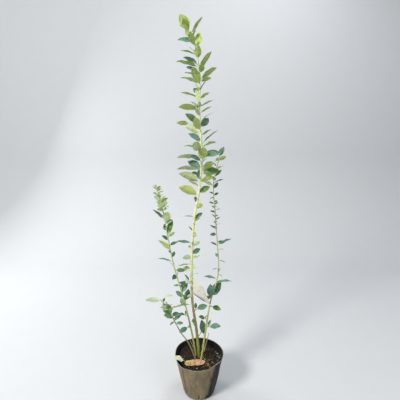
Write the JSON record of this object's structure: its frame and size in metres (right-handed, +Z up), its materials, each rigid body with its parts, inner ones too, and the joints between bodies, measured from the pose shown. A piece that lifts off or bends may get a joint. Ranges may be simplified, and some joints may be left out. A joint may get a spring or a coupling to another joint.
{
  "type": "potted blueberry bush",
  "caption": "Tall open young blueberry bush with slim upright canes and oval blue-green leaves, in a soft round film nursery pot of dark peat, with a bare curled label tied to the main cane.",
  "frame": {"origin": "centre of the pot's flat underside, where it stands", "axes": "+Z up along the plant, +X to the right and -Y towards the viewer when the plant is seen from its front"},
  "size_m": [0.2489, 0.181, 1.0841],
  "materials": {
    "pot_film": "satin",
    "peat": "rough",
    "bark_chip": "rough",
    "dry_leaf": "matte",
    "cane_bark": "satin",
    "dead_wood": "rough",
    "foliage": "matte",
    "young_foliage": "matte",
    "tie": "matte",
    "label_card": "satin"
  },
  "bodies": {
    "root": {"pot": "pot_film", "soil": "peat", "bark_chip": "bark_chip", "fallen_leaf": "dry_leaf", "cane_centre": "cane_bark", "cane_left": "cane_bark", "cane_right": "cane_bark", "cane_low": "cane_bark", "dead_stub_1": "dead_wood", "dead_stub_2": "dead_wood", "centre_shoot_1": "foliage", "centre_shoot_2": "foliage", "centre_shoot_3": "foliage", "centre_shoot_4": "foliage", "centre_shoot_5": "foliage", "centre_tip": "foliage", "left_shoot_1": "foliage", "left_shoot_2": "foliage", "left_tip": "young_foliage", "right_shoot_1": "foliage", "right_shoot_2": "foliage", "right_shoot_3": "foliage", "right_tip": "foliage", "low_shoot": "young_foliage", "left_spur_1": "foliage", "left_spur_2": "foliage", "left_spur_3": "foliage", "left_spur_4": "foliage", "centre_spur_1": "foliage", "centre_spur_2": "foliage", "centre_spur_3": "foliage", "centre_spur_4": "foliage", "centre_spur_5": "foliage", "right_spur_1": "foliage", "right_spur_2": "foliage", "right_spur_3": "foliage", "right_spur_4": "foliage", "label_tie": "tie", "label": "label_card"}
  },
  "joints": []
}
